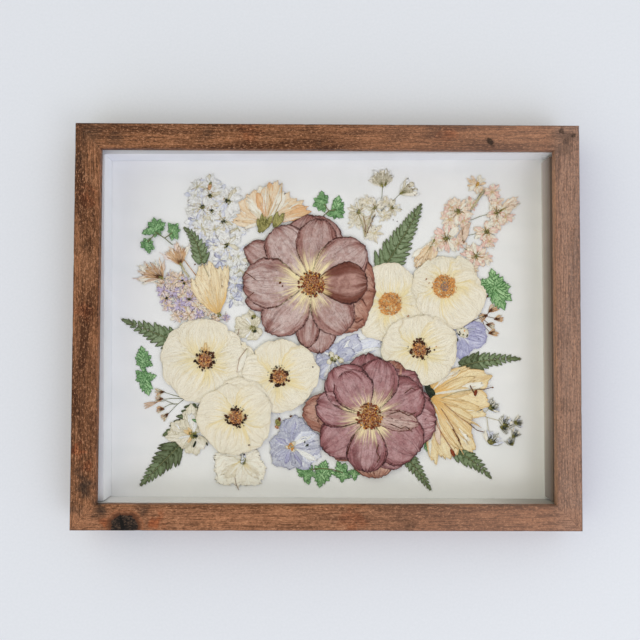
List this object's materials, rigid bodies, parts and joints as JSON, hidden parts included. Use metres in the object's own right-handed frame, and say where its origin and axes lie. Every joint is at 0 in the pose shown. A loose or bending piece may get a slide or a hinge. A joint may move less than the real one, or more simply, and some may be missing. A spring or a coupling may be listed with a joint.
{
  "type": "pressed flower frame",
  "caption": "Wooden shadow-box frame lying on its back, with pressed roses, cream flowers, ferns and sprays on a white board under glass.",
  "frame": {"origin": "middle of the back plane of the frame, which it lies on", "axes": "X runs along the long side, to the right as the picture is looked at; Y runs up the picture along the short side; Z comes out of the picture, through the glass"},
  "size_m": [0.381, 0.3048, 0.0349],
  "materials": {
    "stained_wood": "thin brown stain under a satin clear coat, with pores and one knot",
    "clear_glass": "clear, flat, polished",
    "white_card": "matt white paper-faced foam board",
    "white_board": "matt white textured paper",
    "steel": "plain thin steel",
    "dusky_rose": "dry, veined, greyed mauve with burgundy rims",
    "cream_petals": "dry, thin, finely veined cream",
    "peach_bloom": "dry, thin, veined petals",
    "yellow_bloom_left": "dry, thin, veined petals",
    "yellow_bloom_right": "dry, thin, veined petals",
    "lavender_bloom": "dry, thin, veined petals",
    "blue_hydrangea": "dry, thin, veined petals",
    "pale_blue_bloom": "dry, thin, veined petals",
    "daisy_white": "dry, thin, veined petals",
    "cream_floret": "dry, thin, veined petals",
    "white_floret_spray": "dry, thin, veined petals",
    "fern_green": "dry, matt, slightly browned at the edges",
    "leaf_green": "dry, matt, bright green",
    "white_larkspur": "dry, papery, nearly see-through petals",
    "purple_spray": "dry, faded lavender and tan",
    "cream_sprig": "dry, papery, with dark centres",
    "pink_spray": "dry, papery, pink to peach",
    "bud_spray_left": "dry, tan buds with red-brown tips",
    "bud_spray_right": "dry, tan buds with red-brown tips",
    "bud_twig": "dry, striped brown",
    "thistle_sprig": "dry, fluffy grey with olive bases"
  },
  "bodies": {
    "root": {"rail_top": "stained_wood", "rail_bottom": "stained_wood", "rail_left": "stained_wood", "rail_right": "stained_wood", "front_glass": "clear_glass", "liner_top": "white_card", "liner_bottom": "white_card", "liner_left": "white_card", "liner_right": "white_card", "backing_board": "white_board", "point_top_left": "steel", "point_top_right": "steel", "point_bottom_left": "steel", "point_bottom_right": "steel", "point_left": "steel", "point_right": "steel", "rose_upper": "dusky_rose", "rose_lower": "dusky_rose", "cream_flower_1": "cream_petals", "cream_flower_2": "cream_petals", "cream_flower_3": "cream_petals", "cream_flower_4": "cream_petals", "cream_flower_5": "cream_petals", "cream_flower_6": "cream_petals", "peach_bloom": "peach_bloom", "yellow_bloom_left": "yellow_bloom_left", "yellow_bloom_right": "yellow_bloom_right", "lavender_bloom": "lavender_bloom", "blue_hydrangea": "blue_hydrangea", "pale_blue_bloom": "pale_blue_bloom", "daisy_white": "daisy_white", "cream_floret": "cream_floret", "white_floret_spray": "white_floret_spray", "fern_1": "fern_green", "fern_2": "fern_green", "fern_3": "fern_green", "fern_4": "fern_green", "fern_5": "fern_green", "fern_6": "fern_green", "fern_7": "fern_green", "fern_8": "fern_green", "leaf_1": "leaf_green", "leaf_2": "leaf_green", "leaf_3": "leaf_green", "leaf_4": "leaf_green", "leaf_5": "leaf_green", "leaf_6": "leaf_green", "white_larkspur": "white_larkspur", "purple_spray": "purple_spray", "cream_sprig": "cream_sprig", "pink_spray": "pink_spray", "bud_spray_left": "bud_spray_left", "bud_spray_right": "bud_spray_right", "bud_twig": "bud_twig", "thistle_sprig": "thistle_sprig"}
  },
  "joints": []
}
